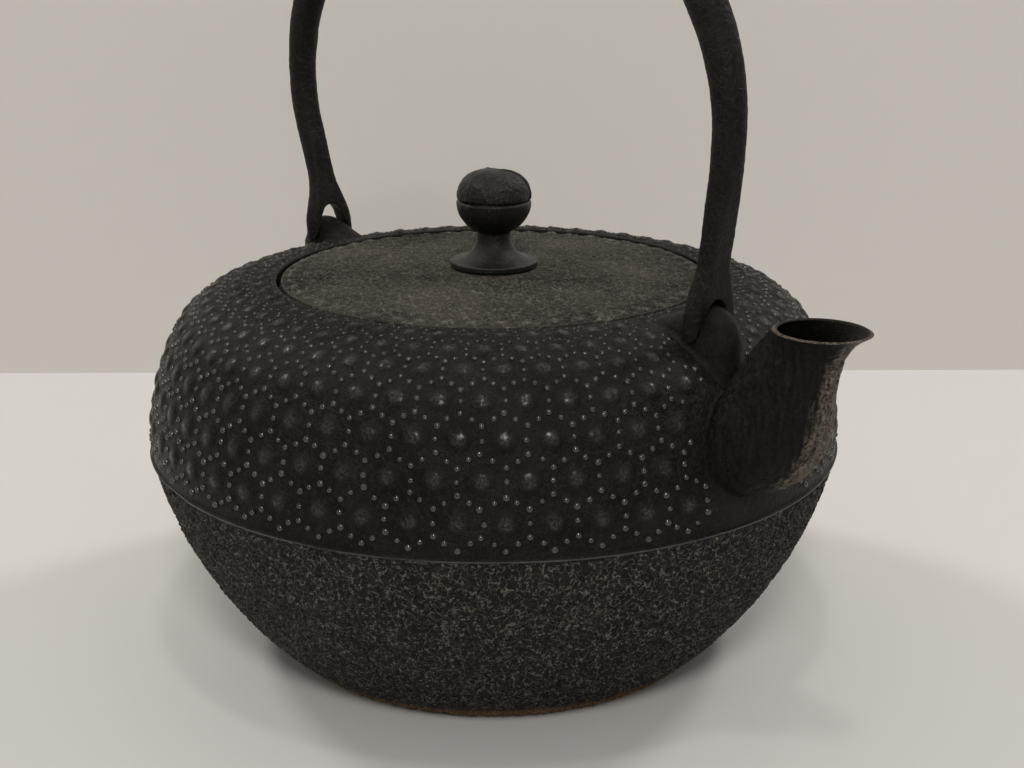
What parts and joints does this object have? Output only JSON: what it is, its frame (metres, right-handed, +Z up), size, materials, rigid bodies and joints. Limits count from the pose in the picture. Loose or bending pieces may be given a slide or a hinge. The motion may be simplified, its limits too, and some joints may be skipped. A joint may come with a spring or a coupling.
{
  "type": "cast-iron kettle",
  "caption": "Squat cast-iron tea kettle with a spout, a flush lid with a turning bud knob, and a fixed forged bail forked over pierced lugs.",
  "frame": {"origin": "centre of the flat base, on the surface that the kettle stands on", "axes": "+Z up along the body's axis, +X towards the spout, +Y to the left of the spout; the bail stands in the XZ plane"},
  "size_m": [0.2463, 0.2156, 0.2505],
  "materials": {
    "cast_skin": "beaded and rough cast skin, dark brown-black",
    "cast_smooth": "smoother tooled casting with upright marks",
    "lid_iron": "fine rough casting, grey-brown",
    "knob_black": "black, low gloss, rough above the groove",
    "forged_bail": "hand-forged, black-brown, faint hammer marks"
  },
  "bodies": {
    "kettle": {"kettle_body": "cast_skin", "spout": "cast_smooth", "front_lug": "cast_skin", "rear_lug": "cast_skin", "bail_handle": "forged_bail"},
    "lid": {"lid_plate": "lid_iron"},
    "knob": {"lid_knob": "knob_black", "knob_washer": "lid_iron"}
  },
  "joints": [
    {"name": "lid_lift", "type": "slide", "parent": "kettle", "child": "lid", "axis": [0, 0, 1], "range_m": [0, 0.06]},
    {"name": "knob_turn", "type": "hinge", "parent": "lid", "child": "knob", "pos_m": [0, 0, 0.117], "axis": [0, 0, 1], "continuous": true}
  ]
}
